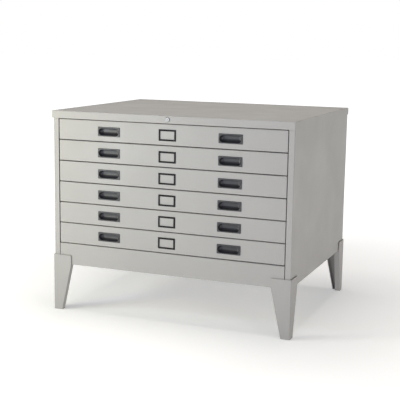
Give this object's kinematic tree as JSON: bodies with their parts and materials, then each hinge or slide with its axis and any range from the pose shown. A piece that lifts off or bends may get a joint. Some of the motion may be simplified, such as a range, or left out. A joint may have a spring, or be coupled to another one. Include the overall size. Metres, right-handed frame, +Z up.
{
  "type": "flat file cabinet",
  "caption": "Low steel plan chest on tapered legs: wide shallow drawers with recessed pulls and card holders, under a flat top with a lock.",
  "frame": {"origin": "on the floor under the middle of the whole cabinet's box", "axes": "+X to the right seen from the front, along the longest side; the drawers open towards -Y; +Z up"},
  "size_m": [1.009, 0.8174, 0.816],
  "materials": {
    "carcass_paint": "light warm grey powder coat, fine orange peel",
    "front_paint": "light warm grey powder coat, fine orange peel",
    "leg_paint": "light warm grey powder coat, fine orange peel",
    "tray_paint": "light grey powder coat, matt",
    "pull_plastic": "dark grey moulded plastic, satin",
    "card_frame_black": "black enamel, satin",
    "zinc_sheet": "zinc plated sheet",
    "zinc_fasteners": "zinc plated",
    "lock_chrome": "polished",
    "guide_nylon": "natural nylon"
  },
  "bodies": {
    "carcass": {"top_panel": "carcass_paint", "left_side_panel": "carcass_paint", "right_side_panel": "carcass_paint", "back_panel": "carcass_paint", "base_panel": "carcass_paint", "bottom_rail": "carcass_paint", "top_rail": "carcass_paint", "front_left_leg": "leg_paint", "front_right_leg": "leg_paint", "rear_left_leg": "leg_paint", "rear_right_leg": "leg_paint", "leg_bolts": "zinc_fasteners", "leg_nuts": "zinc_fasteners", "runner_uprights": "zinc_sheet", "outer_runners": "zinc_sheet", "lock_housing": "lock_chrome", "lock_rod_brackets": "zinc_sheet", "gang_bar_guides": "guide_nylon"},
    "lock": {"lock_barrel": "lock_chrome", "lock_rod": "zinc_fasteners"},
    "gang_bar": {"gang_bar": "zinc_sheet"},
    "drawer_1": {"drawer_1_front": "front_paint", "drawer_1_tray": "tray_paint", "drawer_1_pulls": "pull_plastic", "drawer_1_card_holder": "card_frame_black", "drawer_1_inner_runners": "zinc_sheet"},
    "drawer_1_middle": {"drawer_1_middle_runners": "zinc_sheet"},
    "drawer_2": {"drawer_2_front": "front_paint", "drawer_2_tray": "tray_paint", "drawer_2_pulls": "pull_plastic", "drawer_2_card_holder": "card_frame_black", "drawer_2_inner_runners": "zinc_sheet"},
    "drawer_2_middle": {"drawer_2_middle_runners": "zinc_sheet"},
    "drawer_3": {"drawer_3_front": "front_paint", "drawer_3_tray": "tray_paint", "drawer_3_pulls": "pull_plastic", "drawer_3_card_holder": "card_frame_black", "drawer_3_inner_runners": "zinc_sheet"},
    "drawer_3_middle": {"drawer_3_middle_runners": "zinc_sheet"},
    "drawer_4": {"drawer_4_front": "front_paint", "drawer_4_tray": "tray_paint", "drawer_4_pulls": "pull_plastic", "drawer_4_card_holder": "card_frame_black", "drawer_4_inner_runners": "zinc_sheet"},
    "drawer_4_middle": {"drawer_4_middle_runners": "zinc_sheet"},
    "drawer_5": {"drawer_5_front": "front_paint", "drawer_5_tray": "tray_paint", "drawer_5_pulls": "pull_plastic", "drawer_5_card_holder": "card_frame_black", "drawer_5_inner_runners": "zinc_sheet"},
    "drawer_5_middle": {"drawer_5_middle_runners": "zinc_sheet"},
    "drawer_6": {"drawer_6_front": "front_paint", "drawer_6_tray": "tray_paint", "drawer_6_pulls": "pull_plastic", "drawer_6_card_holder": "card_frame_black", "drawer_6_inner_runners": "zinc_sheet"},
    "drawer_6_middle": {"drawer_6_middle_runners": "zinc_sheet"}
  },
  "joints": [
    {"name": "drawer_1_slide", "type": "slide", "parent": "carcass", "child": "drawer_1", "axis": [0, -1, 0], "range_m": [0, 0.65]},
    {"name": "drawer_1_middle_slide", "type": "slide", "parent": "carcass", "child": "drawer_1_middle", "axis": [0, -1, 0], "range_m": [0, 0.325]},
    {"name": "drawer_2_slide", "type": "slide", "parent": "carcass", "child": "drawer_2", "axis": [0, -1, 0], "range_m": [0, 0.65]},
    {"name": "drawer_2_middle_slide", "type": "slide", "parent": "carcass", "child": "drawer_2_middle", "axis": [0, -1, 0], "range_m": [0, 0.325]},
    {"name": "drawer_3_slide", "type": "slide", "parent": "carcass", "child": "drawer_3", "axis": [0, -1, 0], "range_m": [0, 0.65]},
    {"name": "drawer_3_middle_slide", "type": "slide", "parent": "carcass", "child": "drawer_3_middle", "axis": [0, -1, 0], "range_m": [0, 0.325]},
    {"name": "drawer_4_slide", "type": "slide", "parent": "carcass", "child": "drawer_4", "axis": [0, -1, 0], "range_m": [0, 0.65]},
    {"name": "drawer_4_middle_slide", "type": "slide", "parent": "carcass", "child": "drawer_4_middle", "axis": [0, -1, 0], "range_m": [0, 0.325]},
    {"name": "drawer_5_slide", "type": "slide", "parent": "carcass", "child": "drawer_5", "axis": [0, -1, 0], "range_m": [0, 0.65]},
    {"name": "drawer_5_middle_slide", "type": "slide", "parent": "carcass", "child": "drawer_5_middle", "axis": [0, -1, 0], "range_m": [0, 0.325]},
    {"name": "drawer_6_slide", "type": "slide", "parent": "carcass", "child": "drawer_6", "axis": [0, -1, 0], "range_m": [0, 0.65]},
    {"name": "drawer_6_middle_slide", "type": "slide", "parent": "carcass", "child": "drawer_6_middle", "axis": [0, -1, 0], "range_m": [0, 0.325]},
    {"name": "lock_turn", "type": "hinge", "parent": "carcass", "child": "lock", "pos_m": [0, -0.39575, 0.80125], "axis": [0, 1, 0], "range_deg": [0, 90]},
    {"name": "gang_bar_lift", "type": "slide", "parent": "carcass", "child": "gang_bar", "axis": [0, 0, 1], "range_m": [0, 0.01273]}
  ],
  "couplings": [
    {"joint": "drawer_1_middle_slide", "follows": "drawer_1_slide", "ratio": 0.5},
    {"joint": "drawer_2_middle_slide", "follows": "drawer_2_slide", "ratio": 0.5},
    {"joint": "drawer_3_middle_slide", "follows": "drawer_3_slide", "ratio": 0.5},
    {"joint": "drawer_4_middle_slide", "follows": "drawer_4_slide", "ratio": 0.5},
    {"joint": "drawer_5_middle_slide", "follows": "drawer_5_slide", "ratio": 0.5},
    {"joint": "drawer_6_middle_slide", "follows": "drawer_6_slide", "ratio": 0.5},
    {"joint": "lock_turn", "follows": "gang_bar_lift", "rad_per_m": 123.41}
  ]
}
